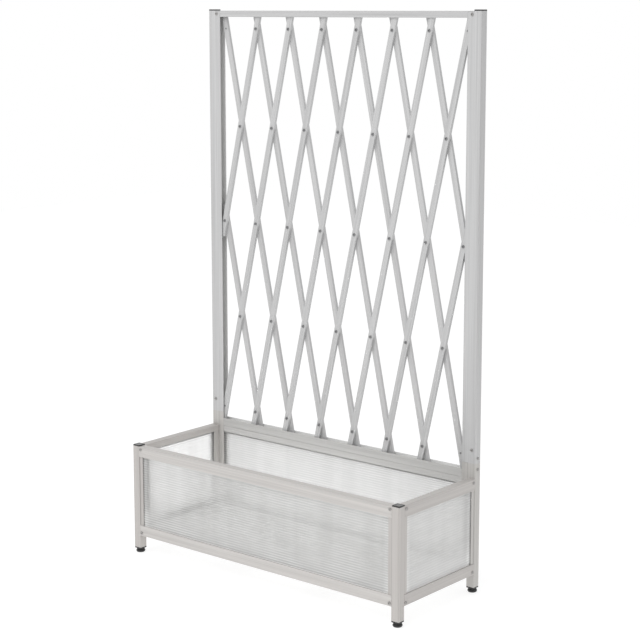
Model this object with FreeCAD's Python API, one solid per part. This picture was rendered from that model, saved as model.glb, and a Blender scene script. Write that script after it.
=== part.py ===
import FreeCAD, Part
import math
import os

# Planter with a slat trellis, in millimetres.
# The origin is on the ground under the middle, +X is to the right, +Y to the back and +Z up.

# Overall size
width = 800.0
depth = 300.0
height = 1300.0

# Corner posts: a square tube with lips that cover the panel edges
post_side = 20.0
post_wall = 1.6
post_edge_radius = 1.0
lip_wall = 1.5
outer_lip_length = 10.0
inner_lip_length = 16.0
wing_end_gap = 0.3

# Heights of the trough and of the seam in the rear posts
trough_height = 268.0
seam_height = 300.0

# Channel rails
rail_wall = 1.5
rail_height = 25.0
rail_inner_height = 15.0
rail_edge_radius = 1.0
rail_ground_gap = 44.0
trellis_rail_height = 15.0
trellis_base_height = 19.0
fin_wall = 1.2
fin_height = 8.0
ledge_width = 10.0

# Twin-wall panels
panel_thick = 4.0
panel_set_in = 5.0
panel_skin = 0.5
panel_rib = 0.5
flute_pitch = 5.8
panel_fit = 0.2
panel_side_gap = 1.0
panel_top_gap = 2.0

# Floor sheet, its bars and its drain holes
floor_thick = 3.0
floor_gap = 0.5
drain_diameter = 10.0
drain_rows = 2
drain_columns = 6
bar_width = 24.0
bar_wall = 1.5
bar_web = 7.0
bar_spacing = 266.0
bar_ledge_gap = 0.5

# Lattice of two layers of flat tubes
lattice_columns = 8
lattice_rows = 5
slat_width = 14.0
slat_thick = 6.5
slat_wall = 1.0
slat_lip_gap = 0.5
slat_top_gap = 2.0
top_node_drop = 39.5
bottom_node_rise = 49.0
half_slat_overrun = 39.5
edge_node_inset = 7.0
row_step = 2.0

# Screws, bolts and nuts
screw_diameter = 3.9
screw_head_diameter = 7.0
screw_head_height = 2.2
screw_head_round = 1.0
screw_hole_gap = 0.2
rail_screw_grip = 0.3
rail_screw_end = 5.0
rail_screw_edge = 7.0
splice_screw_length = 6.0
bar_screw_length = 14.0
nut_across_flats = 7.0
nut_sides = 6
nut_thick = 3.2
bolt_end = 0.2

# Splice bars inside the rear posts
splice_wall = 2.0
splice_fit = 0.2
splice_insert_gap = 47.0
splice_screw_end = 14.0
front_screw_above = 30.5
front_screw_below = 77.0
side_screw_above = 11.0
side_screw_below = 14.0

# Black plugs in the post tops
cap_thick = 3.0
cap_plug_length = 12.0
cap_edge = 0.8
plug_fit = 0.1

# Levelling feet
foot_diameter = 22.0
foot_height = 9.7
foot_edge = 1.2
foot_groove_depth = 1.0
foot_groove_height = 1.6
foot_groove_level = 5.4
foot_flange_gap = 0.3
flange_thick = 3.0
insert_plug_length = 20.0
stud_diameter = 8.0
stud_fit = 0.05
stud_length = 42.0
stud_seat = 3.0
stud_seat_gap = 0.1

# Worked out from the sizes above
half_width = width / 2
half_depth = depth / 2
leg_bottom = foot_height + foot_flange_gap + flange_thick
trough_top = trough_height - cap_thick
trellis_top = height - cap_thick
wing_bottom = rail_ground_gap + rail_wall + wing_end_gap
wing_top = trough_top - rail_wall - wing_end_gap
panel_back = panel_set_in + panel_thick
panel_bottom = rail_ground_gap + rail_wall
panel_top = trough_top - rail_wall - panel_top_gap
ledge_top = rail_ground_gap + rail_inner_height
inner_reach = post_side + inner_lip_length
screw_hole = screw_diameter + screw_hole_gap
splice_bottom = leg_bottom + insert_plug_length + splice_insert_gap
splice_top = seam_height + front_screw_above + splice_screw_end

# Lattice places: nodes in columns across and rows from the top down
front_layer_y = half_depth - post_side + rail_wall + lip_wall + slat_lip_gap
back_layer_y = front_layer_y + slat_thick
slat_bottom = trough_top + rail_wall
slat_top = trellis_top - rail_wall - slat_top_gap
top_node = slat_top - top_node_drop
bottom_node = slat_bottom + bottom_node_rise
row_pitch = (top_node - bottom_node) / (lattice_rows - 1)
lattice_half = half_width - inner_reach - edge_node_inset
column_pitch = 2 * lattice_half / (lattice_columns - 1)
slat_columns = (lattice_rows - 1) // 2
right_slope = (column_pitch / 2 + row_step) / row_pitch
left_slope = (row_step - column_pitch / 2) / row_pitch

# A lip of a post wing is its length and its distance in from the wall's outer face
outer_lip = (outer_lip_length, rail_wall)
covered_lip = (inner_lip_length, post_side - rail_wall - lip_wall)
flush_lip = (inner_lip_length, post_side - lip_wall)
trough_lips = (outer_lip, covered_lip)
rear_lips = (outer_lip, flush_lip)
trellis_lips = ((inner_lip_length, rail_wall), flush_lip)

# Directions
to_right = FreeCAD.Vector(1, 0, 0)
to_back = FreeCAD.Vector(0, 1, 0)
to_top = FreeCAD.Vector(0, 0, 1)

# A corner is the pair of signs of its X and Y, and a wall is its long axis and the sign of its side
corners = {
    "front_left": (-1, -1),
    "front_right": (1, -1),
    "rear_left": (-1, 1),
    "rear_right": (1, 1),
}
walls = {
    "front": ("x", -1),
    "rear": ("x", 1),
    "left": ("y", -1),
    "right": ("y", 1),
}


def limit_box(xs, ys, zs):
    """Box between two X, two Y and two Z values, in either order."""
    low = FreeCAD.Vector(min(xs), min(ys), min(zs))
    size = (abs(xs[1] - xs[0]), abs(ys[1] - ys[0]), abs(zs[1] - zs[0]))
    return Part.makeBox(size[0], size[1], size[2], low)


def corner_box(corner, us, vs, zs):
    """Box placed by its distances inwards from a corner's two outer faces."""
    xs = [corner[0] * (half_width - u) for u in us]
    ys = [corner[1] * (half_depth - v) for v in vs]
    return limit_box(xs, ys, zs)


def corner_point(corner, u, v, z):
    return FreeCAD.Vector(corner[0] * (half_width - u), corner[1] * (half_depth - v), z)


def wall_half(wall):
    """Half the length of a rail between the two posts of a wall."""
    if wall[0] == "x":
        return half_width - post_side
    return half_depth - post_side


def wall_box(wall, along, vs, zs):
    """Box placed along a wall, by its distances inwards from the wall's outer face."""
    axis, side = wall
    if axis == "x":
        return limit_box(along, [side * (half_depth - v) for v in vs], zs)
    return limit_box([side * (half_width - v) for v in vs], along, zs)


def wall_point(wall, along, v, z):
    axis, side = wall
    if axis == "x":
        return FreeCAD.Vector(along, side * (half_depth - v), z)
    return FreeCAD.Vector(side * (half_width - v), along, z)


def wall_outward(wall):
    axis, side = wall
    if axis == "x":
        return to_back * side
    return to_right * side


def upright_edges(shape):
    return [edge for edge in shape.Edges if edge.BoundBox.ZLength > edge.Length / 2]


def level_edges(shape, z):
    """Edges that lie at one height."""
    return [edge for edge in shape.Edges if abs(edge.CenterOfMass.z - z) < edge.Tolerance]


def drill(place, direction, diameter, reach):
    """Cutter for a hole through the face at a place, reaching equally to both sides of it."""
    return Part.makeCylinder(diameter / 2, 2 * reach, place - direction * reach, direction)


def screw(place, outward, length):
    """Round-headed screw seated on a face, its shank going inwards."""
    head = Part.makeCylinder(screw_head_diameter / 2, screw_head_height, place, outward)
    top = place + outward * screw_head_height
    rim = [edge for edge in head.Edges if (edge.CenterOfMass - top).Length < edge.Tolerance]
    head = head.makeFillet(screw_head_round, rim)
    shank = Part.makeCylinder(screw_diameter / 2, length, place, outward * -1)
    return head.fuse(shank).removeSplitter()


def hex_nut(place, outward):
    """Nut seated on a face, with a clear hole for its bolt."""
    corner_radius = nut_across_flats / 2 / math.cos(math.pi / nut_sides)
    ring = []
    for turn in range(nut_sides):
        angle = 2 * math.pi * turn / nut_sides
        ring.append(FreeCAD.Vector(corner_radius * math.cos(angle), corner_radius * math.sin(angle), 0))
    blank = Part.Face(Part.makePolygon(ring + ring[:1])).extrude(to_top * nut_thick)
    blank = blank.cut(drill(FreeCAD.Vector(), to_top, screw_hole, 2 * nut_thick))
    blank.Placement = FreeCAD.Placement(place, FreeCAD.Rotation(to_top, outward))
    return blank


def tube(corner, z_low, z_high):
    outer = corner_box(corner, (0, post_side), (0, post_side), (z_low, z_high))
    outer = outer.makeFillet(post_edge_radius, upright_edges(outer))
    bore = (post_wall, post_side - post_wall)
    return outer.cut(corner_box(corner, bore, bore, (z_low, z_high)))


def wing(corner, axis, z_low, z_high, lips):
    """The two lips that stand off one side of a post."""
    shapes = []
    for length, inset in lips:
        along = (post_side - post_edge_radius, post_side + length)
        across = (inset, inset + lip_wall)
        if axis == "x":
            shapes.append(corner_box(corner, along, across, (z_low, z_high)))
        else:
            shapes.append(corner_box(corner, across, along, (z_low, z_high)))
    return shapes


def rail_screw_places():
    """Every rail screw: the rail, the place on the rail's face and the way out."""
    places = []
    heights = {"top": trough_top - rail_screw_edge, "bottom": rail_ground_gap + rail_screw_edge}
    for side, wall in walls.items():
        for level, z in heights.items():
            for end in (-1, 1):
                place = wall_point(wall, end * (wall_half(wall) - rail_screw_end), 0, z)
                places.append((side + "_" + level + "_rail", place, wall_outward(wall)))
    for end in (-1, 1):
        along = end * (wall_half(walls["rear"]) - rail_screw_end)
        low = wall_point(walls["rear"], along, 0, trough_top + trellis_base_height - rail_screw_edge)
        places.append(("trellis_bottom_rail", low, wall_outward(walls["rear"])))
        high = wall_point(walls["rear"], along, post_side, trellis_top - trellis_rail_height / 2)
        places.append(("trellis_top_rail", high, wall_outward(walls["rear"]) * -1))
    return places


def splice_screw_places(corner):
    """Splice screws of one rear post: the place on the post's face and the way out."""
    forward = to_back * -1
    middle = post_side / 2
    clear_of_panel = (panel_back + post_side - rail_wall - lip_wall) / 2
    places = [(corner_point(corner, middle, post_side, seam_height + front_screw_above), forward)]
    for z in (seam_height - front_screw_below, splice_bottom + splice_screw_end):
        places.append((corner_point(corner, clear_of_panel, post_side, z), forward))
    for rise in (side_screw_above, -side_screw_below):
        places.append((corner_point(corner, 0, middle, seam_height + rise), to_right * corner[0]))
    return places


def bar_screw_places():
    """Floor bar screws: the place on the inside of a long bottom rail's inner wall and the way out."""
    places = []
    for side in ("front", "rear"):
        wall = walls[side]
        for end in (-1, 1):
            z = (rail_ground_gap + rail_wall + ledge_top - rail_wall) / 2
            place = wall_point(wall, end * bar_spacing / 2, post_side - rail_wall, z)
            places.append((side + "_bottom_rail", place, wall_outward(wall)))
    return places


def drilled(shape, holes, reach):
    cutters = [drill(place, outward, screw_hole, reach) for place, outward in holes]
    return shape.cut(cutters)


def post(name, z_low, z_high, wings):
    """Tube, wings and screw holes of one post. A wing is its axis, its two heights and its lips."""
    corner = corners[name]
    stands = []
    for axis, low, high, lips in wings:
        stands += wing(corner, axis, low, high, lips)
    shape = tube(corner, z_low, z_high).fuse(stands).removeSplitter()
    rails = [(place, outward) for rail, place, outward in rail_screw_places()]
    shape = drilled(shape, rails, rail_wall + lip_wall + rail_screw_grip)
    if corner[1] > 0:
        shape = drilled(shape, splice_screw_places(corner), splice_screw_length)
    return shape


def splice_bar(name):
    corner = corners[name]
    outer = (post_wall + splice_fit, post_side - post_wall - splice_fit)
    inner = (outer[0] + splice_wall, outer[1] - splice_wall)
    heights = (splice_bottom, splice_top)
    shape = corner_box(corner, outer, outer, heights).cut(corner_box(corner, inner, inner, heights))
    return drilled(shape, splice_screw_places(corner), splice_screw_length)


def channel(name, wall, z_web, way, heights, notch=False, fins=False, ledge=False, tabs=False):
    """Channel rail. Its web is at one height, and its two walls go up (way 1) or down (way -1) from it.

    The rear wall's rails leave their inner side open at both ends for the flush lips of the posts.
    """
    half = wall_half(wall)
    flush = wall == walls["rear"]
    outer_height, inner_height = heights
    whole = (-half, half)
    clear = (wing_end_gap + inner_lip_length - half, half - inner_lip_length - wing_end_gap)
    hollow = (rail_wall, post_side - rail_wall)
    z_tip = z_web + way * outer_height
    z_inside = z_web + way * rail_wall
    shape = wall_box(wall, whole, (0, post_side), (z_web, z_tip))
    long_edges = [edge for edge in level_edges(shape, z_web) if edge.Length > half]
    shape = shape.makeFillet(rail_edge_radius, long_edges)
    cuts = [wall_box(wall, whole, hollow, (z_inside, z_tip))]
    if inner_height < outer_height:
        cuts.append(wall_box(wall, whole, (hollow[1], post_side), (z_web + way * inner_height, z_tip)))
    ends = [(end * half, end * clear[1]) for end in (-1, 1)]
    for open_end in ends:
        if notch:
            cuts.append(wall_box(wall, open_end, hollow, (z_web, z_inside)))
        if flush:
            z_from = z_web if notch else z_inside
            cuts.append(wall_box(wall, open_end, (hollow[1], post_side), (z_from, z_tip)))
    shape = shape.cut(cuts)
    extras = []
    if tabs:
        behind_lip = (post_side - lip_wall - rail_wall, post_side - lip_wall)
        for end in (-1, 1):
            tab = (end * half, end * (clear[1] - rail_wall))
            extras.append(wall_box(wall, tab, behind_lip, (z_web, z_tip)))
    if fins:
        z_fin = z_inside + way * fin_height
        for start in (panel_set_in - panel_fit - fin_wall, panel_back + panel_fit):
            extras.append(wall_box(wall, clear, (start, start + fin_wall), (z_inside, z_fin)))
    if ledge:
        z_ledge = z_web + way * inner_height
        shelf = (post_side, post_side + ledge_width)
        reach = clear if flush else whole
        extras.append(wall_box(wall, reach, shelf, (z_ledge - way * rail_wall, z_ledge)))
    if extras:
        shape = shape.fuse(extras).removeSplitter()
    holes = [(place, outward) for rail, place, outward in rail_screw_places() if rail == name]
    holes += [(place, outward) for rail, place, outward in bar_screw_places() if rail == name]
    return drilled(shape, holes, rail_wall + lip_wall + rail_screw_grip)


def twin_wall_panel(wall):
    """Twin-wall sheet: two skins joined by level ribs, with the flutes open at both ends."""
    half = wall_half(wall) - panel_side_gap
    along = (-half, half)
    sheet = wall_box(wall, along, (panel_set_in, panel_back), (panel_bottom, panel_top))
    count = int((panel_top - panel_bottom - panel_rib) // flute_pitch)
    start = (panel_bottom + panel_top - count * flute_pitch + panel_rib) / 2
    inside = (panel_set_in + panel_skin, panel_back - panel_skin)
    flutes = []
    for step in range(count):
        low = start + step * flute_pitch
        flutes.append(wall_box(wall, along, inside, (low, low + flute_pitch - panel_rib)))
    return sheet.cut(flutes)


def floor_sheet():
    inset = post_side + floor_gap
    xs = (inset - half_width, half_width - inset)
    ys = (inset - half_depth, half_depth - inset)
    sheet = limit_box(xs, ys, (ledge_top, ledge_top + floor_thick))
    holes = []
    for column in range(drain_columns):
        x = xs[0] + (xs[1] - xs[0]) * (2 * column + 1) / (2 * drain_columns)
        for row in range(drain_rows):
            y = ys[0] + (ys[1] - ys[0]) * (2 * row + 1) / (2 * drain_rows)
            holes.append(drill(FreeCAD.Vector(x, y, ledge_top), to_top, drain_diameter, 2 * floor_thick))
    return sheet.cut(holes)


def floor_bar(side):
    """Two-chamber bar between the long bottom rails, with ribs that bear on the floor sheet."""
    x = side * bar_spacing / 2
    reach = half_depth - post_side
    xs = (x - bar_width / 2, x + bar_width / 2)
    zs = (rail_ground_gap + rail_wall, ledge_top - rail_wall)
    bar = limit_box(xs, (-reach, reach), zs)
    rib_reach = reach - ledge_width - bar_ledge_gap
    ribs = []
    chambers = []
    for edge, way in zip(xs, (1, -1)):
        rib_xs = (edge, edge + way * bar_wall)
        ribs.append(limit_box(rib_xs, (-rib_reach, rib_reach), (zs[1], ledge_top)))
        hollow_xs = (rib_xs[1], x - way * bar_web / 2)
        chambers.append(limit_box(hollow_xs, (-reach, reach), (zs[0] + bar_wall, zs[1] - bar_wall)))
    bar = bar.fuse(ribs).removeSplitter().cut(chambers)
    near = [(place, way) for rail, place, way in bar_screw_places() if abs(place.x - x) < bar_width]
    return drilled(bar, near, rail_wall + bar_screw_length)


def node_x(row, column):
    """Each row of nodes stands a step to the right of the row below, about the middle row."""
    return column * column_pitch - lattice_half + row_step * ((lattice_rows - 1) / 2 - row)


def node_z(row):
    return top_node - row * row_pitch


def slat_runs(rises_right):
    """Every slat of one layer: its first and last row from the top, and its column at the first row."""
    last = lattice_rows - 1
    middle = last // 2
    runs = []
    for index in range(-1, lattice_columns - slat_columns + 1):
        if rises_right:
            top_column = index + slat_columns
            if index < 0:
                runs.append((0, middle, top_column))
            elif top_column > lattice_columns - 1:
                runs.append((middle, last, index + slat_columns / 2))
            else:
                runs.append((0, last, top_column))
        elif index < 0:
            runs.append((middle, last, index + slat_columns / 2))
        elif index + slat_columns > lattice_columns - 1:
            runs.append((0, middle, index))
        else:
            runs.append((0, last, index))
    return runs


def run_nodes(run, rises_right):
    """The nodes that a slat passes, as pairs of row and column."""
    first, last, column = run
    way = -1 if rises_right else 1
    return [(row, column + way * (row - first) / 2) for row in range(first, last + 1)]


def slat(run, rises_right):
    """Flat tube that leans through its nodes, cut level at both ends and drilled at each crossing."""
    first, last, column = run
    lean = right_slope if rises_right else left_slope
    z_high = slat_top if first == 0 else node_z(first) + half_slat_overrun
    z_low = slat_bottom if last == lattice_rows - 1 else node_z(last) - half_slat_overrun
    y = front_layer_y if rises_right else back_layer_y
    centre_high = node_x(first, column) + lean * (z_high - node_z(first))
    centre_low = node_x(first, column) + lean * (z_low - node_z(first))
    level_half = slat_width / 2 * math.hypot(1, lean)
    level_hollow_half = level_half - slat_wall * math.hypot(1, lean)

    def prism(half, y_low, thick):
        ends = (
            FreeCAD.Vector(centre_low - half, y_low, z_low),
            FreeCAD.Vector(centre_low + half, y_low, z_low),
            FreeCAD.Vector(centre_high + half, y_low, z_high),
            FreeCAD.Vector(centre_high - half, y_low, z_high),
        )
        return Part.Face(Part.makePolygon(ends + ends[:1])).extrude(to_back * thick)

    shape = prism(level_half, y, slat_thick)
    shape = shape.cut(prism(level_hollow_half, y + slat_wall, slat_thick - 2 * slat_wall))
    holes = []
    for row, crossing in run_nodes(run, rises_right):
        if (row, crossing) in bolted_nodes():
            holes.append((FreeCAD.Vector(node_x(row, crossing), y, node_z(row)), to_back))
    return drilled(shape, holes, 2 * slat_thick)


def bolted_nodes():
    """Nodes where a slat of each layer crosses."""
    layers = []
    for rises_right in (True, False):
        nodes = set()
        for run in slat_runs(rises_right):
            nodes.update(run_nodes(run, rises_right))
        layers.append(nodes)
    return sorted(layers[0] & layers[1])


def lattice_bolts():
    length = 2 * slat_thick + nut_thick + bolt_end
    bolts = []
    for row, column in bolted_nodes():
        place = FreeCAD.Vector(node_x(row, column), front_layer_y, node_z(row))
        bolts.append(screw(place, to_back * -1, length))
    return Part.makeCompound(bolts)


def lattice_nuts():
    nuts = []
    for row, column in bolted_nodes():
        place = FreeCAD.Vector(node_x(row, column), back_layer_y + slat_thick, node_z(row))
        nuts.append(hex_nut(place, to_back))
    return Part.makeCompound(nuts)


def cap(corner, z):
    """Square plug for a post top: a plate with bevelled edges over a block that fits the tube."""
    plate = corner_box(corner, (0, post_side), (0, post_side), (z, z + cap_thick))
    plate = plate.makeChamfer(cap_edge, level_edges(plate, z + cap_thick))
    block = (post_wall + plug_fit, post_side - post_wall - plug_fit)
    return plate.fuse(corner_box(corner, block, block, (z - cap_plug_length, z))).removeSplitter()


def foot_centre(corner, z):
    return corner_point(corner, post_side / 2, post_side / 2, z)


def foot_insert(corner):
    """Square threaded plug in a leg end, with a flange under the leg."""
    flange = corner_box(corner, (0, post_side), (0, post_side), (leg_bottom - flange_thick, leg_bottom))
    flange = flange.makeFillet(post_edge_radius, upright_edges(flange))
    block = (post_wall + plug_fit, post_side - post_wall - plug_fit)
    plug = corner_box(corner, block, block, (leg_bottom, leg_bottom + insert_plug_length))
    hole = stud_diameter + 2 * stud_fit
    bore = drill(foot_centre(corner, leg_bottom), to_top, hole, 2 * insert_plug_length)
    return flange.fuse(plug).removeSplitter().cut(bore)


def foot_pad(corner):
    """Round foot with bevelled rims, a ring groove and a blind socket for its stud."""
    radius = foot_diameter / 2
    pad = Part.makeCylinder(radius, foot_height, foot_centre(corner, 0))
    rims = level_edges(pad, 0) + level_edges(pad, foot_height)
    pad = pad.makeChamfer(foot_edge, rims)
    groove_foot = foot_centre(corner, foot_groove_level)
    groove = Part.makeCylinder(foot_diameter, foot_groove_height, groove_foot)
    groove = groove.cut(Part.makeCylinder(radius - foot_groove_depth, foot_groove_height, groove_foot))
    socket = Part.makeCylinder(stud_diameter / 2 + stud_fit, foot_height, foot_centre(corner, stud_seat))
    return pad.cut([groove, socket])


def foot_stud(corner):
    return Part.makeCylinder(stud_diameter / 2, stud_length, foot_centre(corner, stud_seat + stud_seat_gap))


def build():
    """Every piece by the name of its node."""
    pieces = {}
    for name in ("front_left", "front_right"):
        both = [(axis, wing_bottom, wing_top, trough_lips) for axis in ("x", "y")]
        pieces[name + "_post"] = post(name, leg_bottom, trough_top, both)
    for name, side in (("rear_left", "left"), ("rear_right", "right")):
        both = [("x", wing_bottom, seam_height, rear_lips), ("y", wing_bottom, wing_top, trough_lips)]
        pieces[name + "_post"] = post(name, leg_bottom, seam_height, both)
        upper_ends = (seam_height + wing_end_gap, trellis_top - rail_wall - wing_end_gap)
        upper = [("x", upper_ends[0], upper_ends[1], trellis_lips)]
        pieces["trellis_" + side + "_post"] = post(name, seam_height, trellis_top, upper)
        pieces[side + "_splice_bar"] = splice_bar(name)

    trough_heights = (rail_height, rail_inner_height)
    for side, wall in walls.items():
        name = side + "_top_rail"
        pieces[name] = channel(name, wall, trough_top, -1, trough_heights, notch=side == "rear", fins=True)
        name = side + "_bottom_rail"
        ledge = wall[0] == "x"
        pieces[name] = channel(name, wall, rail_ground_gap, 1, trough_heights, fins=True, ledge=ledge)
        pieces[side + "_panel"] = twin_wall_panel(wall)
    name = "trellis_bottom_rail"
    base_heights = (trellis_base_height, trellis_base_height)
    pieces[name] = channel(name, walls["rear"], trough_top, 1, base_heights, notch=True)
    name = "trellis_top_rail"
    top_heights = (trellis_rail_height, trellis_rail_height)
    pieces[name] = channel(name, walls["rear"], trellis_top, -1, top_heights, tabs=True)

    pieces["floor_panel"] = floor_sheet()
    for side, sign in (("left", -1), ("right", 1)):
        pieces[side + "_floor_bar"] = floor_bar(sign)

    for layer, rises_right in (("front", True), ("back", False)):
        for number, run in enumerate(slat_runs(rises_right), 1):
            pieces["%s_slat_%d" % (layer, number)] = slat(run, rises_right)
    pieces["lattice_bolts"] = lattice_bolts()
    pieces["lattice_nuts"] = lattice_nuts()

    rail_grip = rail_wall + lip_wall + rail_screw_grip
    rails = [screw(place, outward, rail_grip) for rail, place, outward in rail_screw_places()]
    pieces["rail_screws"] = Part.makeCompound(rails)
    splices = []
    for name in ("rear_left", "rear_right"):
        for place, outward in splice_screw_places(corners[name]):
            splices.append(screw(place, outward, splice_screw_length))
    pieces["splice_screws"] = Part.makeCompound(splices)
    bars = [screw(place, outward, bar_screw_length) for rail, place, outward in bar_screw_places()]
    pieces["floor_bar_screws"] = Part.makeCompound(bars)

    for name, corner in corners.items():
        top = trellis_top if corner[1] > 0 else trough_top
        pieces[name + "_cap"] = cap(corner, top)
        pieces[name + "_foot"] = foot_pad(corner)
        pieces[name + "_stud"] = foot_stud(corner)
    pieces["foot_inserts"] = Part.makeCompound([foot_insert(corner) for corner in corners.values()])
    return pieces


os.makedirs("parts", exist_ok=True)
for node, shape in build().items():
    shape.exportStep("parts/" + node + ".step")
    print(node, len(shape.Solids), round(shape.Volume), shape.isValid())
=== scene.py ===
import bmesh
import bpy
import math
from mathutils import Matrix, Vector


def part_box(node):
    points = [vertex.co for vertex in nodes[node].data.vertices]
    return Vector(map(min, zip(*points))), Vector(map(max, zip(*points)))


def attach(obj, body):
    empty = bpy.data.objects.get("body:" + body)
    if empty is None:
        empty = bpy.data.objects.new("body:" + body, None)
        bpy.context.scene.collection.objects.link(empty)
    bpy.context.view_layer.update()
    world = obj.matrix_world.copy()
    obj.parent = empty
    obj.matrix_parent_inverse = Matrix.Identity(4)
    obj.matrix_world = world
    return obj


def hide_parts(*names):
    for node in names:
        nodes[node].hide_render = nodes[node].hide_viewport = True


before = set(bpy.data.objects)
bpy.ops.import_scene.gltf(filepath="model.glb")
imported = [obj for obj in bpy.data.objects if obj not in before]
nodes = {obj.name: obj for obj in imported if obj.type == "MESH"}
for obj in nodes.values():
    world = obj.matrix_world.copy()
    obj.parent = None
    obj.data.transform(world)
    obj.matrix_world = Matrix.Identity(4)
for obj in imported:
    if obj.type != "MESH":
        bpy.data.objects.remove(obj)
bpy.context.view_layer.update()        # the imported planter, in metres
scene = bpy.context.scene


def plug(tree, entry, value):        # a link where the value is a wire, a set value otherwise
    if isinstance(value, Wire):
        tree.links.new(value.socket, entry)
    else:
        entry.default_value = value


class Wire:        # a socket that can stand in a sum
    def __init__(self, socket):
        self.socket = socket
        self.tree = socket.id_data

    def sums(self, operation, *values):
        made = self.tree.nodes.new("ShaderNodeMath")
        made.operation = operation
        for entry, value in zip(made.inputs, values):
            plug(self.tree, entry, value)
        return Wire(made.outputs[0])

    def __add__(self, other):
        return self.sums("ADD", self, other)

    def __radd__(self, other):
        return self.sums("ADD", other, self)

    def __sub__(self, other):
        return self.sums("SUBTRACT", self, other)

    def __rsub__(self, other):
        return self.sums("SUBTRACT", other, self)

    def __mul__(self, other):
        return self.sums("MULTIPLY", self, other)

    def __rmul__(self, other):
        return self.sums("MULTIPLY", other, self)

    def __truediv__(self, other):
        return self.sums("DIVIDE", self, other)

    def __rtruediv__(self, other):
        return self.sums("DIVIDE", other, self)

    def __abs__(self):
        return self.sums("ABSOLUTE", self)

    def below(self, limit):        # 1 under the limit, 0 over it
        return self.sums("LESS_THAN", self, limit)

    def fraction(self):
        return self.sums("FRACT", self)


class Finish:        # the nodes of one material, or of the studio's surroundings
    def __init__(self, owner):
        owner.use_nodes = True
        self.owner = owner
        self.tree = owner.node_tree

    def node(self, kind, settings, sockets, out=0):
        made = self.tree.nodes.new("ShaderNode" + kind)
        for key, value in settings.items():
            if key == "stops":        # the two ends of a ramp
                for stop, (position, grey) in zip(made.color_ramp.elements, value):
                    stop.position, stop.color = position, (grey, grey, grey, 1)
            else:
                setattr(made, key, value)
        for key, value in sockets.items():
            plug(self.tree, made.inputs[key], value)
        return Wire(made.outputs[out])

    def place(self):
        return self.node("TexCoord", {}, {}, "Object")

    def cloud(self, sizes, turn=(0, 0, 0), detail=3.0):        # noise whose blotches are so long each way
        held = {"Vector": self.place(), "Rotation": turn, "Scale": sizes}
        laid = self.node("Mapping", {"vector_type": "TEXTURE"}, held)
        return self.node("TexNoise", {}, {"Vector": laid, "Scale": 1.0, "Detail": detail})

    def ramp(self, factor, start, stop, least=0.0):        # least up to start, 1 from stop on
        return self.node("ValToRGB", {"stops": ((start, least), (stop, 1.0))}, {"Fac": factor})

    def between(self, factor, low, high):        # colours are mixed, not summed
        return self.node("Mix", {"data_type": "RGBA"}, {0: factor, 6: low, 7: high}, 2)

    def rise(self, value, start, stop):        # 0 at start, 1 at stop, smooth between
        ends = {"Value": value, "From Min": start, "From Max": stop}
        return self.node("MapRange", {"interpolation_type": "SMOOTHSTEP"}, ends)

    def part(self, vector, axis):
        return self.node("SeparateXYZ", {}, {"Vector": vector}, axis)

    def relief(self, height, strength, distance):
        held = {"Strength": strength, "Distance": distance, "Height": height}
        return self.node("Bump", {}, held, "Normal")

    def surface(self, **values):        # onto the shader itself
        shader = self.tree.nodes["Principled BSDF"]
        for key, value in values.items():
            plug(self.tree, shader.inputs[key.replace("_", " ")], value)
        return self.owner

    def over(self, factor, **values):        # a second shader lying on the first
        held = {key.replace("_", " "): value for key, value in values.items()}
        top = self.node("BsdfPrincipled", {}, held)
        under = Wire(self.tree.nodes["Principled BSDF"].outputs[0])
        both = self.node("MixShader", {}, {0: factor, 1: under, 2: top})
        plug(self.tree, self.tree.nodes["Material Output"].inputs["Surface"], both)


def shade(tone, times=1.0):
    return (*[part * times for part in tone], 1.0)


# one pale coat everywhere, given a lighter or darker tone per place: its own colour plus painted light and
# shade for how the lamps fall on fronts, rails, sides, rear and trellis
coatTonesWithPaintedLight = {"front": (0.52, 0.498, 0.48), "frontRail": (0.575, 0.555, 0.537),
             "side": (0.515, 0.493, 0.476), "rear": (0.528, 0.514, 0.496),
             "rearRail": (0.54, 0.535, 0.524), "trellis": (0.545, 0.545, 0.547)}
coatMarks = {"streak": {"wide": 0.0026, "long": 0.35, "detail": 4.0, "ends": (0.36, 0.64)},
             "band": {"wide": 0.009, "long": 0.9, "detail": 2.0, "ends": (0.35, 0.65)},
             "scratch": {"wide": 0.0005, "long": 0.035, "detail": 2.0, "ends": (0.69, 0.74)}}
coatLook = {"streakShare": 0.55, "bandShare": 0.45, "dark": 0.86, "light": 1.105,
            "scratchShare": 0.4, "scratched": 1.16, "peel": 0.0007, "metal": 0.3,
            "rough": 0.4, "roughMarks": 0.1, "roughPeel": 0.06,
            "highStreak": 0.6, "highPeel": 0.5, "deepScratch": 0.3, "bump": (0.22, 0.0003)}
# a dark line next to the step from post to lip: painted shade, with some grime
lipSeamShade = {"x": 0.3791, "y": 0.1291, "wide": 0.0008, "full": 0.00048, "share": 0.5, "shadeAndDirt": 0.4}
channelPaintedLight = {"middle": 0.14, "half": 0.0088, "within": 0.3805,        # painted light inside the trellis channels, paler than the coat where the channel is shaded
            "rail": (0.86, 0.86, 0.85), "post": (0.66, 0.66, 0.655)}


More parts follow.
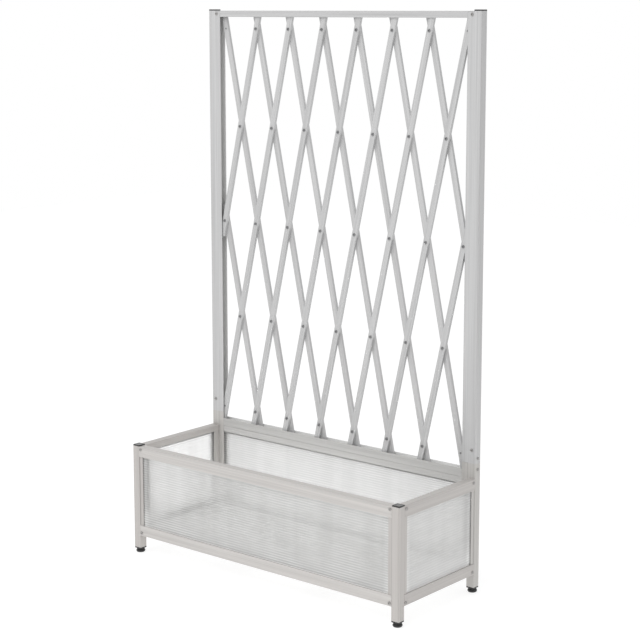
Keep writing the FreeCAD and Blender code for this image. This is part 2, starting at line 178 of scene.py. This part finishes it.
def coatedMetal(name, tone, along, lean=0.0, paintedLightInside=None, seams=()):        # pale coat on drawn metal
    f = Finish(bpy.data.materials.new(name))

    def drawn(kind):        # marks pulled out lengthwise
        mark = coatMarks[kind]
        sizes = [mark["wide"]] * 3
        sizes["xyz".index(along)] = mark["long"]
        return f.ramp(f.cloud(sizes, (0, lean, 0), mark["detail"]), *mark["ends"])

    streaks, bands, scratches = drawn("streak"), drawn("band"), drawn("scratch")
    peel = f.cloud([coatLook["peel"]] * 3, detail=2.0)
    marks = streaks * coatLook["streakShare"] + bands * coatLook["bandShare"]
    colour = f.between(marks, shade(tone, coatLook["dark"]), shade(tone, coatLook["light"]))
    scratched = shade(tone, coatLook["scratched"])
    colour = f.between(scratches * coatLook["scratchShare"], colour, scratched)
    if paintedLightInside:        # painted light: the inside of the channel is painted paler to lift the shade that falls there
        betweenLips = abs(f.part(f.place(), "Y") - channelPaintedLight["middle"]).below(channelPaintedLight["half"])
        betweenPosts = abs(f.part(f.place(), "X")).below(channelPaintedLight["within"])
        colour = f.between(betweenLips * betweenPosts, colour, shade(channelPaintedLight[paintedLightInside]))
    for axis, level in seams:        # painted shade next to the step from post to lip, with some grime there too
        away = abs(abs(f.part(f.place(), axis)) - level)
        shadeAndDirt = f.rise(away, lipSeamShade["wide"], lipSeamShade["full"]) * lipSeamShade["share"]
        colour = f.between(shadeAndDirt, colour, shade(tone, lipSeamShade["shadeAndDirt"]))
    raised = streaks * coatLook["highStreak"] + peel * coatLook["highPeel"]
    return f.surface(
        Base_Color=colour, Metallic=coatLook["metal"],
        Roughness=coatLook["rough"] + marks * coatLook["roughMarks"] + peel * coatLook["roughPeel"],
        Normal=f.relief(raised - scratches * coatLook["deepScratch"], *coatLook["bump"]))


def dress(finish, *names):        # a CAD node keeps its shape and takes this finish
    for name in names:
        for entry in nodes[name].material_slots:
            entry.material = finish


onFace, onSide = ("X", lipSeamShade["x"]), ("Y", lipSeamShade["y"])
dress(coatedMetal("frontUpright", coatTonesWithPaintedLight["front"], "z", seams=(onFace, onSide)),
      "front_left_post", "front_right_post")
dress(coatedMetal("rearUpright", coatTonesWithPaintedLight["rear"], "z", seams=(onFace,)),
      "rear_left_post", "rear_right_post", "left_splice_bar", "right_splice_bar")
dress(coatedMetal("trellisUpright", coatTonesWithPaintedLight["trellis"], "z", paintedLightInside="post"),
      "trellis_left_post", "trellis_right_post")
frontLong = coatedMetal("frontLong", coatTonesWithPaintedLight["frontRail"], "x")
rearLong = coatedMetal("rearLong", coatTonesWithPaintedLight["rearRail"], "x")
sideShort = coatedMetal("sideShort", coatTonesWithPaintedLight["side"], "y")
railFinish = {"front": frontLong, "rear": rearLong, "left": sideShort, "right": sideShort}
for wall, finish in railFinish.items():
    dress(finish, wall + "_top_rail", wall + "_bottom_rail")
dress(sideShort, "left_floor_bar", "right_floor_bar")
dress(coatedMetal("trellisLong", coatTonesWithPaintedLight["trellis"], "x"), "trellis_top_rail")
dress(coatedMetal("trellisBase", coatTonesWithPaintedLight["rearRail"], "x", paintedLightInside="rail"), "trellis_bottom_rail")
slatLean = {"front": 0.22590, "back": -0.20877}        # to the right, for each metre up
slatFinish = {"front": "slatRight", "back": "slatLeft"}
for layer, lean in slatLean.items():
    dress(coatedMetal(slatFinish[layer], coatTonesWithPaintedLight["trellis"], "z", math.atan(lean)),
          *[name for name in nodes if name.startswith(layer + "_slat_")])
print("coated metal: posts, rails, bars and slats")

screwLook = {"dark": (0.24, 0.24, 0.245), "pale": (0.36, 0.352, 0.345), "fleck": 1.45,
             "grain": 0.0006, "grainShare": 0.6, "stain": 0.003, "stainShare": 0.4,
             "ends": (0.35, 0.65), "metal": 0.9, "rough": 0.3, "roughGrain": 0.2, "bump": (0.15, 0.0001)}


def screwMetal(tone):        # dull plated steel, finely mottled
    f = Finish(bpy.data.materials.new(tone + "Steel"))
    grain = f.cloud([screwLook["grain"]] * 3, detail=4.0)
    stain = f.cloud([screwLook["stain"]] * 3, detail=2.0)
    mottle = f.ramp(grain * screwLook["grainShare"] + stain * screwLook["stainShare"], *screwLook["ends"])
    plain, fleck = shade(screwLook[tone]), shade(screwLook[tone], screwLook["fleck"])
    return f.surface(
        Base_Color=f.between(mottle, plain, fleck), Metallic=screwLook["metal"],
        Roughness=screwLook["rough"] + grain * screwLook["roughGrain"],
        Normal=f.relief(grain, *screwLook["bump"]))


blackLook = {"tone": (0.012, 0.012, 0.0125), "worn": (0.04, 0.04, 0.041), "topSheenAndDust": (0.15, 0.15, 0.15),
             "grain": 0.0005, "grainShare": 0.2, "dust": 0.006, "dustEnds": (0.45, 0.75), "dustShare": 0.7,
             "flatTop": (0.97, 0.995), "topSheenLeast": 0.6, "settledDust": 0.4,
             "rough": 0.08, "roughDust": 0.1, "roughGrain": 0.06, "bump": (0.05, 0.0001)}


def blackPlastic():        # moulded, with a fine spark texture; flat tops painted paler, partly dust and partly painted sheen
    f = Finish(bpy.data.materials.new("blackPlastic"))
    grain = f.cloud([blackLook["grain"]] * 3)
    dust = f.ramp(f.cloud([blackLook["dust"]] * 3, detail=4.0), *blackLook["dustEnds"])
    upward = f.rise(f.part(f.node("NewGeometry", {}, {}, "Normal"), "Z"), *blackLook["flatTop"])
    black = f.between(dust * blackLook["dustShare"] + grain * blackLook["grainShare"],
                      shade(blackLook["tone"]), shade(blackLook["worn"]))
    # painted sheen: up-facing tops are painted paler all over, and more where dust lies
    topSheenAndDust = upward * (dust * blackLook["settledDust"] + blackLook["topSheenLeast"])
    return f.surface(
        Base_Color=f.between(topSheenAndDust, black, shade(blackLook["topSheenAndDust"])),
        Roughness=blackLook["rough"] + dust * blackLook["roughDust"] + grain * blackLook["roughGrain"],
        Normal=f.relief(grain, *blackLook["bump"]))


floorLook = {"tone": (0.8, 0.8, 0.79), "fleck": (0.88, 0.88, 0.87), "fleckSize": 0.0016,
             "fleckEnds": (0.52, 0.62), "fleckShare": 0.5, "broad": 0.09, "broadShare": 0.4,
             "rough": 0.55, "roughFleck": 0.15, "bump": (0.2, 0.0002)}


def floorPlastic():        # pale sheet with paler flecks
    f = Finish(bpy.data.materials.new("floorPlastic"))
    flecks = f.ramp(f.cloud([floorLook["fleckSize"]] * 3, detail=2.0), *floorLook["fleckEnds"])
    broad = f.cloud([floorLook["broad"]] * 3)
    return f.surface(
        Base_Color=f.between(flecks * floorLook["fleckShare"] + broad * floorLook["broadShare"],
                             shade(floorLook["tone"]), shade(floorLook["fleck"])),
        Roughness=floorLook["rough"] + flecks * floorLook["roughFleck"],
        Normal=f.relief(flecks, *floorLook["bump"]))


sheetLook = {"pitch": 0.0058, "firstRib": 0.0462, "ribFrom": 0.5, "ribDustAndPaintedLight": (0.95, 0.95, 0.945),
             "patch": (0.14, 0.14, 0.07), "patchEnds": (0.4, 0.58), "patchLeast": 0.15,
             "haze": (0.07, 0.07, 0.02), "hazeShare": 0.6, "lines": (0.35, 0.35, 0.004), "lineShare": 0.4,
             "paintedShadeBands": (0.03, 0.03, 0.9), "veilEnds": (0.35, 0.6), "veilShare": 0.7, "dullShare": 0.3,
             "dark": 0.88, "light": 1.05, "alpha": 0.44, "alphaDull": 0.12, "rough": 0.3, "roughDull": 0.1,
             "through": 0.9, "index": 1.2, "bump": (0.1, 0.001),
             "dustLeast": 0.5, "dustRough": 0.5, "dustDull": 0.2, "paintedLightLow": 0.3, "lowFrom": (0.14, 0.07),
             "paintedLightFoot": 0.3, "footFrom": (0.076, 0.0695), "paintedLightEnd": 0.4, "endWide": 0.02}
# one sheet material whose tone, white, worn and onRibs differ wall by wall: on top of the dust, painted light
# and shade for how light falls on each wall
wallLooksWithPaintedLight = {"front": {"axis": "X", "end": 0.37, "tone": (0.83, 0.83, 0.825), "white": (0.66, 0.66, 0.65),
                       "worn": 0.15, "onRibs": 0.31},
             "rear": {"axis": "X", "end": 0.37, "tone": (0.7, 0.7, 0.695), "white": (0.66, 0.66, 0.65),
                      "worn": 0.16, "onRibs": 0.22},
             "left": {"axis": "Y", "end": 0.12, "tone": (0.96, 0.96, 0.955), "white": (0.78, 0.78, 0.772),
                      "worn": 0.06, "onRibs": 0.04},
             "right": {"axis": "Y", "end": 0.12, "tone": (0.95, 0.95, 0.945), "white": (0.8, 0.8, 0.792),
                       "worn": 0.33, "onRibs": 0.06}}


def clearPlastic(wall):        # see-through sheet with hazy ribs and dust, whitened low down and next to the posts by painted light
    own, look = wallLooksWithPaintedLight[wall], sheetLook
    f = Finish(bpy.data.materials.new(wall + "Sheet"))
    height, length = f.part(f.place(), "Z"), abs(f.part(f.place(), own["axis"]))
    turns = (height - look["firstRib"]) / look["pitch"]
    nearRib = abs(turns.fraction() - 0.5) * 2        # 1 on a rib, 0 halfway between two
    rib = f.rise(nearRib, look["ribFrom"], 1.0)
    patch = f.ramp(f.cloud(look["patch"], detail=2.0), *look["patchEnds"], look["patchLeast"])
    haze = f.cloud(look["haze"])
    dull = haze * look["hazeShare"] + f.cloud(look["lines"], detail=2.0) * look["lineShare"]
    paintedShadeBands = f.ramp(f.cloud(look["paintedShadeBands"], detail=1.0), *look["veilEnds"])        # painted shade: soft upright bands of shade on the sheet
    # painted light: the sheet is whitened low down, over the rail slot and at its ends near the posts,
    # lifting the shade that falls there
    low = f.rise(height, *look["lowFrom"]) * look["paintedLightLow"]
    foot = f.rise(height, *look["footFrom"]) * look["paintedLightFoot"]
    beside = f.rise(length, own["end"] - look["endWide"], own["end"]) * look["paintedLightEnd"]
    worn = own["worn"] * (dull + look["dustLeast"]) + rib * patch * own["onRibs"]
    f.surface(
        Base_Color=f.between(dull * look["dullShare"] + paintedShadeBands * look["veilShare"],
                             shade(own["tone"], look["dark"]), shade(own["tone"], look["light"])),
        Alpha=look["alpha"] + dull * look["alphaDull"], Roughness=look["rough"] + dull * look["roughDull"],
        Transmission_Weight=look["through"], IOR=look["index"], Normal=f.relief(haze, *look["bump"]))
    # a paler layer over the sheet: its dust, plus the painted light just above
    f.over(worn + low + foot + beside,
           Base_Color=f.between(rib, shade(own["white"]), shade(look["ribDustAndPaintedLight"])),
           Roughness=look["dustRough"] + dull * look["dustDull"])
    return f.owner


steel, paleSteel, black = screwMetal("dark"), screwMetal("pale"), blackPlastic()
dress(floorPlastic(), "floor_panel")
dress(black, "foot_inserts")
dress(steel, "floor_bar_screws")
print("finishes: screws, plastic and floor sheet")

creaseAngle = math.radians(32)        # flatter edges are shaded smooth
slack = {"same": 1e-6, "cut": 1e-7, "ring": 2e-5}        # how near counts as touching


def finished(name, shape, finish, body, slot, *stood):        # mesh, finish, body and the nodes it stands for
    for face in shape.faces:
        face.smooth = True
    for edge in shape.edges:
        edge.smooth = edge.calc_face_angle(0.0) < creaseAngle
    mesh = bpy.data.meshes.new(name)
    shape.to_mesh(mesh)
    shape.free()
    mesh.materials.append(finish)
    piece = bpy.data.objects.new(name, mesh)
    scene.collection.objects.link(piece)
    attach(piece, body)
    if stood:
        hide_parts(*stood)


def only(parts, kind):
    return [part for part in parts if isinstance(part, kind)]


def above(parts, level):        # the edges or faces with no corner under a level
    return [part for part in parts if all(vert.co.z > level for vert in part.verts)]


def fitted(shape, low, high):        # a block from corner to corner
    block = bmesh.ops.create_cube(shape, size=1.0)["verts"]
    stretch = Matrix.Diagonal((*(high - low), 1.0))
    bmesh.ops.transform(shape, matrix=Matrix.Translation((low + high) / 2) @ stretch, verts=block)


def turned(shape, profile, steps):        # a profile of radius and height, spun round Z
    points = [shape.verts.new((radius, 0, height)) for radius, height in profile]
    line = [shape.edges.new(pair) for pair in zip(points, points[1:])]
    bmesh.ops.spin(shape, geom=points + line, cent=(0, 0, 0), axis=(0, 0, 1), angle=math.tau, steps=steps,
                   use_merge=True)
    bmesh.ops.remove_doubles(shape, verts=shape.verts, dist=slack["same"])
    bmesh.ops.recalc_face_normals(shape, faces=shape.faces)


def rim(shape, radius, height):        # the edges of one turned ring
    def onRing(vert):
        return max(abs(vert.co.xy.length - radius), abs(vert.co.z - height)) < slack["ring"]
    return [edge for edge in shape.edges if all(onRing(vert) for vert in edge.verts)]


def softened(shape, edges, offset, segments):
    bmesh.ops.bevel(shape, geom=edges, offset=offset, offset_type="OFFSET", segments=segments, profile=0.5,
                    affect="EDGES", material=-1, clamp_overlap=True)


wallSheet = {"dip": 0.00015, "rib": 0.0005, "clear": 0.0006, "steps": 8}
wallWays = {"front": (0, 1), "rear": (0, 1), "left": (1, 0), "right": (1, 0)}        # axes along and through


def makeSheet(wall):        # skins that dip a little from rib to rib, with the ribs between them
    low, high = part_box(wall + "_panel")
    along, across = wallWays[wall]
    pitch, first, steps = sheetLook["pitch"], sheetLook["firstRib"], wallSheet["steps"]
    flutes = math.floor((high.z - first) / pitch)
    skin = [(low.z, 0.0)]
    for number in range(flutes * steps + 1):
        part = number % steps / steps        # of the way to the next rib, deepest at the half
        skin.append((first + pitch * number / steps, 4 * wallSheet["dip"] * part * (1 - part)))
    skin.append((high.z, 0.0))
    outline = [(low[across] + dip, z) for z, dip in skin]
    outline += [(high[across] - dip, z) for z, dip in reversed(skin)]
    shape = bmesh.new()
    corners = []
    for thick, z in outline:
        place = Vector((0, 0, z))
        place[along], place[across] = low[along], thick
        corners.append(shape.verts.new(place))
    end = shape.faces.new(corners)
    drawn = bmesh.ops.extrude_face_region(shape, geom=[end], use_keep_orig=True)["geom"]
    run = Vector((0, 0, 0))
    run[along] = high[along] - low[along]
    bmesh.ops.translate(shape, vec=run, verts=only(drawn, bmesh.types.BMVert))
    bmesh.ops.recalc_face_normals(shape, faces=shape.faces)
    half = wallSheet["rib"] / 2
    inner = Vector([wallSheet["clear"]] * 3)
    for number in range(flutes + 1):
        level = first + number * pitch
        under, over = low + inner, high - inner
        under.z, over.z = level - half, level + half
        fitted(shape, under, over)
    finished(wall + "Sheet", shape, clearPlastic(wall), "frame", "clear_sheet", wall + "_panel")


wallBead = {"low": 0.06, "high": 0.0687, "wall": 0.0015, "fit": 0.0001, "edge": 0.0006, "edgeSteps": 2,
            "clear": 0.0105}


def makeBead(wall):        # closes the slot between a bottom rail and its sheet
    low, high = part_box(wall + "_panel")
    railLow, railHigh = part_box(wall + "_bottom_rail")
    along, across = wallWays[wall]
    if wall in ("front", "left"):
        near, far = railLow[across] + wallBead["wall"], low[across]
    else:
        near, far = high[across], railHigh[across] - wallBead["wall"]
    reach = railHigh[along] - wallBead["clear"]
    under, over = Vector((0, 0, wallBead["low"])), Vector((0, 0, wallBead["high"]))
    under[along], over[along] = -reach, reach
    under[across], over[across] = near + wallBead["fit"], far - wallBead["fit"]
    shape = bmesh.new()
    fitted(shape, under, over)
    softened(shape, above(shape.edges, over.z - slack["same"]), wallBead["edge"], wallBead["edgeSteps"])
    finished(wall + "Bead", shape, railFinish[wall], "frame", "coated_metal")


for wall in wallWays:
    makeSheet(wall)
    makeBead(wall)
print("wall sheets: 4, with a bead under each")

panHead = {"radius": 0.0035, "height": 0.0022, "round": 0.001, "roundSteps": 4, "land": 0.0003,
           "half": 0.00045, "deep": 0.0013, "taper": 0.55, "shank": 0.00195, "steps": 24}


def headedScrew(length):        # pan head with a cross recess, seat at z = 0, shank downwards
    shape = bmesh.new()
    radius, height, shank, half = panHead["radius"], panHead["height"], panHead["shank"], panHead["half"]
    turned(shape, ((0, height), (radius, height), (radius, 0), (shank, 0), (shank, -length), (0, -length)),
           panHead["steps"])
    softened(shape, rim(shape, radius, height), panHead["round"], panHead["roundSteps"])
    crown = above(shape.faces, height - slack["same"])
    bmesh.ops.inset_region(shape, faces=crown, thickness=panHead["land"], use_even_offset=True)
    for way in ((1, 0, 0), (0, 1, 0)):
        for end in (-half, half):        # the two sides of one slot
            cut = [face for face in crown if face.is_valid]
            borders = [part for face in cut for part in (*face.edges, *face.verts)]
            done = bmesh.ops.bisect_plane(shape, geom=list(dict.fromkeys(cut + borders)), dist=slack["cut"],
                                          plane_co=Vector(way) * end, plane_no=way)
            crown = list(dict.fromkeys(only(done["geom"], bmesh.types.BMFace)))
    cross = [face for face in crown if min(abs(part) for part in face.calc_center_median().xy) < half]
    sunk = bmesh.ops.extrude_face_region(shape, geom=cross)["geom"]
    bottom = only(sunk, bmesh.types.BMVert)
    bmesh.ops.translate(shape, vec=(0, 0, -panHead["deep"]), verts=bottom)
    bmesh.ops.scale(shape, vec=(panHead["taper"], panHead["taper"], 1), verts=bottom)
    bmesh.ops.delete(shape, geom=[face for face in cross if face.is_valid], context="FACES_ONLY")
    return shape


driveTurn = 2.4        # how far each screw is turned past the one before it


def scattered(pattern, places):        # one copy at each place, pointing outward
    source = bpy.data.meshes.new("pattern")
    pattern.to_mesh(source)
    pattern.free()
    shape = bmesh.new()
    for number, (place, outward) in enumerate(places):
        before = len(shape.verts)
        shape.from_mesh(source)
        shape.verts.ensure_lookup_table()
        facing = Vector(outward).to_track_quat("Z", "Y").to_matrix().to_4x4()
        stand = Matrix.Translation(place) @ facing @ Matrix.Rotation(number * driveTurn, 4, "Z")
        bmesh.ops.transform(shape, matrix=stand, verts=shape.verts[before:])
    bpy.data.meshes.remove(source)
    return shape


railScrew = {"x": 0.4, "y": 0.15, "inLong": 0.375, "inShort": 0.125, "levels": (0.051, 0.258),
             "trellis": ((0.15, 0.277, 1), (0.13, 1.2895, -1)), "shank": 0.0033}        # face, level, way out
railPlaces = []
for hand in (-1, 1):
    for level in railScrew["levels"]:
        for end in (-1, 1):
            railPlaces.append(((end * railScrew["inLong"], hand * railScrew["y"], level), (0, hand, 0)))
            railPlaces.append(((hand * railScrew["x"], end * railScrew["inShort"], level), (hand, 0, 0)))
    for face, level, way in railScrew["trellis"]:
        railPlaces.append(((hand * railScrew["inLong"], face, level), (0, way, 0)))
finished("railScrews", scattered(headedScrew(railScrew["shank"]), railPlaces), paleSteel,
         "frame", "screw_steel", "rail_screws")

spliceScrew = {"front": 0.13, "onFront": ((0.390, 0.3305), (0.387, 0.223), (0.387, 0.094)),
               "side": 0.4, "middle": 0.14, "onSide": (0.311, 0.286), "shank": 0.006}
splicePlaces = []
for hand in (-1, 1):
    for x, level in spliceScrew["onFront"]:
        splicePlaces.append(((hand * x, spliceScrew["front"], level), (0, -1, 0)))
    for level in spliceScrew["onSide"]:
        splicePlaces.append(((hand * spliceScrew["side"], spliceScrew["middle"], level), (hand, 0, 0)))
finished("spliceScrews", scattered(headedScrew(spliceScrew["shank"]), splicePlaces), paleSteel,
         "frame", "screw_steel", "splice_screws")

latticeNet = {"left": -0.357, "pitch": 0.102, "step": 0.002, "evenRow": 2, "top": 1.254, "drop": 0.234625,
              "columns": ((1, 6), (0.5, 6.5), (0, 7), (0.5, 6.5), (1, 6)),        # first and last, row by row
              "face": 0.1335, "back": 0.1465, "shank": 0.0164}
netPlaces = []
for row, (first, last) in enumerate(latticeNet["columns"]):
    for number in range(int(last - first) + 1):
        aside = latticeNet["step"] * (latticeNet["evenRow"] - row)        # lower rows lie further left
        x = latticeNet["left"] + latticeNet["pitch"] * (first + number) + aside
        netPlaces.append((x, latticeNet["top"] - latticeNet["drop"] * row))
boltPlaces = [((x, latticeNet["face"], z), (0, -1, 0)) for x, z in netPlaces]
nutPlaces = [((x, latticeNet["back"], z), (0, 1, 0)) for x, z in netPlaces]
finished("latticeBolts", scattered(headedScrew(latticeNet["shank"]), boltPlaces), steel,
         "frame", "screw_steel", "lattice_bolts")

hexNut = {"flats": 0.0035, "hole": 0.002, "thick": 0.0032, "chamfer": 0.0004, "inset": 0.0001, "steps": 24}


def makeNut():        # ring whose outside is pushed out to six flats, chamfered on its free face
    shape = bmesh.new()
    flats, hole, thick = hexNut["flats"], hexNut["hole"], hexNut["thick"]
    profile = ((hole, 0), (flats, 0), (flats, thick - hexNut["chamfer"]), (flats - hexNut["inset"], thick),
               (hole, thick), (hole, 0))
    turned(shape, profile, hexNut["steps"])
    sixth = math.pi / 3
    for vert in shape.verts:
        if abs(vert.co.xy.length - flats) < slack["ring"]:
            offFlat = math.atan2(vert.co.y, vert.co.x) % sixth - sixth / 2
            vert.co.xy = vert.co.xy / math.cos(offFlat)
    return shape


finished("latticeNuts", scattered(makeNut(), nutPlaces), steel, "frame", "screw_steel", "lattice_nuts")

endRivet = {"radius": 0.0021, "height": 0.0013, "round": 0.0008, "roundSteps": 4, "sunk": 0.002, "steps": 20,
            "places": ((-0.353, 0.14, 1.254), (0.361, 0.1335, 1.254),
                       (-0.361, 0.1335, 0.3155), (0.353, 0.14, 0.3155))}


def makeRivet():        # for a single slat that ends at a corner of the net
    radius, height, sunk = endRivet["radius"], endRivet["height"], endRivet["sunk"]
    shape = bmesh.new()
    turned(shape, ((0, height), (radius, height), (radius, -sunk), (0, -sunk)), endRivet["steps"])
    softened(shape, rim(shape, radius, height), endRivet["round"], endRivet["roundSteps"])
    return shape


rivetPlaces = [(place, (0, -1, 0)) for place in endRivet["places"]]
finished("endRivets", scattered(makeRivet(), rivetPlaces), steel, "frame", "screw_steel")
print("fasteners:", len(railPlaces), "rail,", len(splicePlaces), "splice,", len(netPlaces), "lattice,",
      len(rivetPlaces), "rivets")

postCap = {"thick": 0.003, "edge": 0.0008, "edgeSteps": 3, "border": 0.002, "dish": 0.0003, "plugIn": 0.0018,
           "level": 0.99}


def makeCap(side):        # square plug with a dished top
    low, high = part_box(side + "_cap")
    shape = bmesh.new()
    under = Vector((low.x, low.y, high.z - postCap["thick"]))
    fitted(shape, under, high)
    reached = high.z - slack["same"]
    softened(shape, [edge for edge in shape.edges if max(vert.co.z for vert in edge.verts) > reached],
             postCap["edge"], postCap["edgeSteps"])
    top = [face for face in above(shape.faces, high.z - slack["ring"]) if face.normal.z > postCap["level"]]
    bmesh.ops.inset_region(shape, faces=top, thickness=postCap["border"])
    bmesh.ops.inset_region(shape, faces=top, thickness=postCap["dish"], depth=-postCap["dish"])
    plugIn = Vector((postCap["plugIn"], postCap["plugIn"], 0))
    fitted(shape, low + plugIn, Vector((high.x, high.y, under.z)) - plugIn)
    finished(side + "Cap", shape, black, "frame", "black_plastic", side + "_cap")


footPad = {"radius": 0.011, "height": 0.0097, "soleIn": 0.0068, "sole": 0.0006, "rest": 0.0084,
           "belly": 0.0034, "waist": 0.0066, "waistIn": 0.0088, "neck": 0.0096, "lip": 0.0075,
           "chamfer": 0.0005, "socket": 0.00405, "seat": 0.003, "steps": 48, "curve": 6}


def makePad(side, x, y):        # round-bellied pad with a waist under its neck and a hollowed sole
    p = footPad
    quarter = [math.pi / 2 * step / p["curve"] for step in range(p["curve"] + 1)]
    profile = [(0, p["sole"]), (p["soleIn"], p["sole"]), (p["soleIn"] + p["sole"], 0)]
    for angle in quarter[:-1]:        # out and up to the belly
        profile.append((p["rest"] + (p["radius"] - p["rest"]) * math.sin(angle),
                        p["belly"] * (1 - math.cos(angle))))
    for angle in quarter:        # in and up to the waist
        profile.append((p["radius"] + (p["waistIn"] - p["radius"]) * (1 - math.cos(angle)),
                        p["belly"] + (p["waist"] - p["belly"]) * math.sin(angle)))
    profile += [(p["neck"], p["lip"]), (p["neck"], p["height"] - p["chamfer"]),
                (p["neck"] - p["chamfer"], p["height"]), (p["socket"], p["height"]),
                (p["socket"], p["seat"]), (0, p["seat"])]
    shape = bmesh.new()
    turned(shape, profile, p["steps"])
    bmesh.ops.translate(shape, vec=(x, y, 0), verts=shape.verts)
    finished(side + "Pad", shape, black, side + "_foot", "black_plastic", side + "_foot")


thread = {"crest": 0.004, "root": 0.00335, "pitch": 0.00125, "steps": 20, "rise": (0.2, 0.52), "fall": 0.68,
          "spare": 2, "below": 1.5}        # rise and fall as parts of a turn


def makeStud(side, x, y):        # right-hand thread, cut flat at both ends
    low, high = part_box(side + "_stud")
    pitch, crest, root = thread["pitch"], thread["crest"], thread["root"]
    turns = math.ceil((high.z - low.z) / pitch) + thread["spare"]
    start = low.z - pitch * thread["below"]
    shape = bmesh.new()
    profile = ((root, 0), (root, thread["rise"][0]), (crest, thread["rise"][1]), (crest, thread["fall"]),
               (root, 1))
    points = [shape.verts.new((radius, 0, start + part * pitch)) for radius, part in profile]
    line = [shape.edges.new(pair) for pair in zip(points, points[1:])]
    bmesh.ops.spin(shape, geom=points + line, cent=(0, 0, 0), axis=(0, 0, 1), angle=math.tau * turns,
                   dvec=(0, 0, pitch / thread["steps"]), steps=thread["steps"] * turns)
    bmesh.ops.remove_doubles(shape, verts=shape.verts, dist=slack["same"])
    for level, way in ((low.z, -1), (high.z, 1)):
        whole = shape.verts[:] + shape.edges[:] + shape.faces[:]
        bmesh.ops.bisect_plane(shape, geom=whole, dist=slack["cut"], plane_co=(0, 0, level),
                               plane_no=(0, 0, way), clear_outer=True)
        cut = [edge for edge in shape.edges
               if all(abs(vert.co.z - level) < slack["same"] for vert in edge.verts)]
        bmesh.ops.contextual_create(shape, geom=cut)
    bmesh.ops.recalc_face_normals(shape, faces=shape.faces)
    bmesh.ops.translate(shape, vec=(x, y, 0), verts=shape.verts)
    finished(side + "Stud", shape, steel, side + "_stud", "screw_steel", side + "_stud")


legMiddle = {"x": 0.39, "y": 0.14}
for row, wayY in (("front_", -1), ("rear_", 1)):
    for hand, wayX in (("left", -1), ("right", 1)):
        x, y = wayX * legMiddle["x"], wayY * legMiddle["y"]
        makeCap(row + hand)
        makePad(row + hand, x, y)
        makeStud(row + hand, x, y)
print("caps, foot pads and studs: 4 each")

studio = {"floorSize": 6.0, "floorParts": 8, "floorDrop": 0.0004, "floorTone": (0.3, 0.3, 0.3),
          "floorMist": 0.5, "mistDark": 0.98, "mistLight": 1.02, "floorRough": 0.8, "floorShine": 0.1,
          "floorGlow": 0.78, "sky": 0.76, "skySeen": 1.0,
          "keyPower": 40.0, "keySize": 2.4, "keyFrom": (-0.2, -1.6, 2.9), "keyAim": (0.0, 0.0, 0.4),
          "fillPower": 0.75, "fillSize": (0.6, 0.22), "fillFrom": (-0.07, 0.0, 0.07)}
white = (1, 1, 1, 1)


def makeFloor():
    parts, tone = studio["floorParts"], studio["floorTone"]
    shape = bmesh.new()
    bmesh.ops.create_grid(shape, x_segments=parts, y_segments=parts, size=studio["floorSize"])
    bmesh.ops.translate(shape, vec=(0, 0, -studio["floorDrop"]), verts=shape.verts)
    mesh = bpy.data.meshes.new("floor")
    shape.to_mesh(mesh)
    shape.free()
    f = Finish(bpy.data.materials.new("paleFloor"))
    mist = f.cloud([studio["floorMist"]] * 3, detail=2.0)
    mesh.materials.append(f.surface(
        Base_Color=f.between(mist, shade(tone, studio["mistDark"]), shade(tone, studio["mistLight"])),
        Roughness=studio["floorRough"], Specular_IOR_Level=studio["floorShine"],
        Emission_Color=white, Emission_Strength=studio["floorGlow"]))
    floor = bpy.data.objects.new("floor", mesh)
    scene.collection.objects.link(floor)


def makeLight():
    surround = Finish(bpy.data.worlds.new("studio"))
    scene.world = surround.owner
    seen = surround.node("LightPath", {}, {}, "Is Camera Ray")
    sky = surround.tree.nodes["Background"].inputs
    plug(surround.tree, sky["Color"], white)
    plug(surround.tree, sky["Strength"], studio["sky"] + seen * (studio["skySeen"] - studio["sky"]))
    key = bpy.data.lights.new("softKey", "AREA")
    key.energy, key.size = studio["keyPower"], studio["keySize"]
    lamp = bpy.data.objects.new("softKey", key)
    lamp.location = studio["keyFrom"]
    lamp.rotation_euler = (Vector(studio["keyAim"]) - lamp.location).to_track_quat("-Z", "Y").to_euler()
    fill = bpy.data.lights.new("troughFill", "AREA")        # laid in the trough, facing up
    fill.shape, fill.energy = "RECTANGLE", studio["fillPower"]
    fill.size, fill.size_y = studio["fillSize"]
    strip = bpy.data.objects.new("troughFill", fill)
    strip.location = studio["fillFrom"]
    strip.rotation_euler = (math.pi, 0, 0)
    for light in (lamp, strip):
        light.visible_camera = light.visible_transmission = light.visible_glossy = False
        scene.collection.objects.link(light)


viewpoint = {"lens": 93.414, "sensor": 36.0, "shiftY": -0.08, "far": 60.0,
             "place": (2.4209, -2.8490, 1.3014), "turn": 39.659, "down": 8.899}        # turns in degrees


def makeCamera():
    lens = bpy.data.cameras.new("camera")
    lens.lens, lens.sensor_width = viewpoint["lens"], viewpoint["sensor"]
    lens.shift_y, lens.clip_end = viewpoint["shiftY"], viewpoint["far"]
    camera = bpy.data.objects.new("camera", lens)
    camera.location = viewpoint["place"]
    camera.rotation_euler = (math.radians(90 - viewpoint["down"]), 0, math.radians(viewpoint["turn"]))
    scene.collection.objects.link(camera)
    scene.camera = camera
    scene.view_settings.view_transform = "Standard"


makeFloor()
makeLight()
makeCamera()
print("studio: floor, light and camera")
